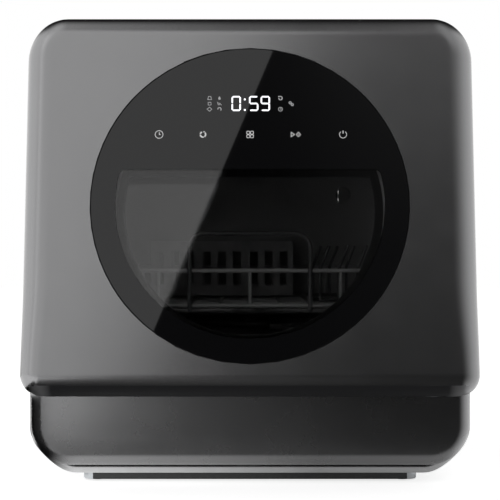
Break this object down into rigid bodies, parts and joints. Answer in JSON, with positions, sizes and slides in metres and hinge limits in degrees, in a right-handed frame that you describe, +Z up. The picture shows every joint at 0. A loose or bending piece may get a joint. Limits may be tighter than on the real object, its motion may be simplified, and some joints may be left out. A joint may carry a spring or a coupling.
{
  "type": "countertop dishwasher",
  "caption": "Countertop dishwasher with a leaning drop-down door, a round smoked window, a touch panel, a wire rack, spray arms and a built-in water tank.",
  "frame": {"origin": "middle of the footprint, on the counter", "axes": "+Z up, -Y towards the user in front of the door, +X to the right as the user sees it"},
  "size_m": [0.42, 0.4353, 0.4413],
  "materials": {
    "door_shell": "satin, fine metallic dark grey paint on moulded ABS",
    "black_glass": "polished, black print behind smoked glass",
    "dark_plastic": "fine grain",
    "grey_plastic": "fine grain",
    "pale_plastic": "smooth",
    "stainless": "brushed",
    "zinc": "zinc plated",
    "clear_pane": "clear tempered glass",
    "seal_rubber": "matt",
    "board": "solder mask",
    "spring_brass": "bright",
    "coated_wire": "dipped nylon coat over steel wire",
    "basket_plastic": "fine grain",
    "tank_plastic": "milky, moulded",
    "orange_float": "smooth",
    "pad_felt": "bitumen felt"
  },
  "bodies": {
    "base": {"base_pan": "dark_plastic", "plinth": "dark_plastic", "foot_pads": "seal_rubber", "front_fascia": "door_shell", "cabinet_shell": "door_shell", "front_frame": "grey_plastic", "door_gasket": "seal_rubber", "rear_panel": "zinc", "rear_screws": "zinc", "tub": "stainless", "rack_rails": "stainless", "sump": "dark_plastic", "flat_filter": "stainless", "heater": "stainless", "spray_feed_pipe": "grey_plastic", "wash_pump": "dark_plastic", "drain_pump": "dark_plastic", "pump_hoses": "seal_rubber", "water_tank": "tank_plastic", "tank_gauge": "tank_plastic", "fill_pipe": "dark_plastic", "inlet_valve": "pale_plastic", "drain_spigot": "grey_plastic", "cable_gland": "dark_plastic", "control_board": "board", "fan_housing": "dark_plastic", "vent_grille": "dark_plastic", "latch_housing": "dark_plastic", "hinge_brackets": "zinc", "hinge_pins": "zinc", "overflow_guide": "pale_plastic", "acoustic_pads": "pad_felt"},
    "door": {"door_frame": "door_shell", "door_glass": "black_glass", "glass_bed": "seal_rubber", "inner_liner": "stainless", "inner_window": "clear_pane", "window_seal": "seal_rubber", "display_board": "board", "key_springs": "spring_brass", "detergent_cup": "grey_plastic", "hinge_arms": "zinc", "door_striker": "zinc", "liner_screws": "zinc"},
    "detergent_cover": {"detergent_lid": "grey_plastic"},
    "rack": {"rack_frame": "coated_wire", "rack_handle": "coated_wire", "plate_prongs": "coated_wire", "rack_glides": "pale_plastic"},
    "basket": {"cutlery_basket": "basket_plastic"},
    "lower_arm": {"lower_spray_arm": "stainless"},
    "upper_arm": {"upper_spray_arm": "grey_plastic"},
    "filter": {"filter_cup": "grey_plastic"},
    "wash_rotor": {"wash_impeller": "pale_plastic"},
    "drain_rotor": {"drain_impeller": "pale_plastic"},
    "fan_rotor": {"fan_wheel": "pale_plastic"},
    "filler_cover": {"fill_lid": "dark_plastic"},
    "hook": {"latch_hook": "zinc"},
    "overflow_bob": {"overflow_float": "pale_plastic"},
    "level_bob": {"tank_float": "orange_float"}
  },
  "joints": [
    {"name": "door_hinge", "type": "hinge", "parent": "base", "child": "door", "pos_m": [0, -0.18004, 0.09395], "axis": [1, 0, 0], "range_deg": [0, 97.5]},
    {"name": "rack_slide", "type": "slide", "parent": "base", "child": "rack", "axis": [0, -1, 0], "range_m": [0, 0.176]},
    {"name": "basket_lift", "type": "slide", "parent": "rack", "child": "basket", "axis": [0, 0, 1], "range_m": [0, 0.09]},
    {"name": "lower_arm_spin", "type": "hinge", "parent": "base", "child": "lower_arm", "pos_m": [0, 0, 0.159], "axis": [0, 0, 1], "continuous": true},
    {"name": "upper_arm_spin", "type": "hinge", "parent": "base", "child": "upper_arm", "pos_m": [0, 0, 0.38], "axis": [0, 0, 1], "continuous": true},
    {"name": "filter_twist", "type": "hinge", "parent": "base", "child": "filter", "pos_m": [0.07, -0.06, 0.146], "axis": [0, 0, 1], "range_deg": [0, 60]},
    {"name": "wash_impeller_spin", "type": "hinge", "parent": "base", "child": "wash_rotor", "pos_m": [0.07, 0, 0.072], "axis": [0, 1, 0], "continuous": true},
    {"name": "drain_impeller_spin", "type": "hinge", "parent": "base", "child": "drain_rotor", "pos_m": [0.14, -0.1, 0.041], "axis": [0, 0, 1], "continuous": true},
    {"name": "fan_spin", "type": "hinge", "parent": "base", "child": "fan_rotor", "pos_m": [0.14, 0.185, 0.29], "axis": [0, 1, 0], "continuous": true},
    {"name": "fill_lid_hinge", "type": "hinge", "parent": "base", "child": "filler_cover", "pos_m": [-0.14, 0.167, 0.4364], "axis": [-1, 0, 0], "range_deg": [0, 100]},
    {"name": "detergent_lid_slide", "type": "slide", "parent": "door", "child": "detergent_cover", "axis": [-1, 0, 0], "range_m": [0, 0.056]},
    {"name": "latch_hook_swing", "type": "hinge", "parent": "base", "child": "hook", "pos_m": [0, -0.095, 0.4175], "axis": [1, 0, 0], "range_deg": [0, 12]},
    {"name": "overflow_float_rise", "type": "slide", "parent": "base", "child": "overflow_bob", "axis": [0, 0, 1], "range_m": [0, 0.008]},
    {"name": "tank_float_rise", "type": "slide", "parent": "base", "child": "level_bob", "axis": [0, 0, 1], "range_m": [0, 0.06]}
  ],
  "couplings": [
    {"joint": "rack_slide", "follows": "door_hinge", "m_per_rad": 0.103}
  ]
}
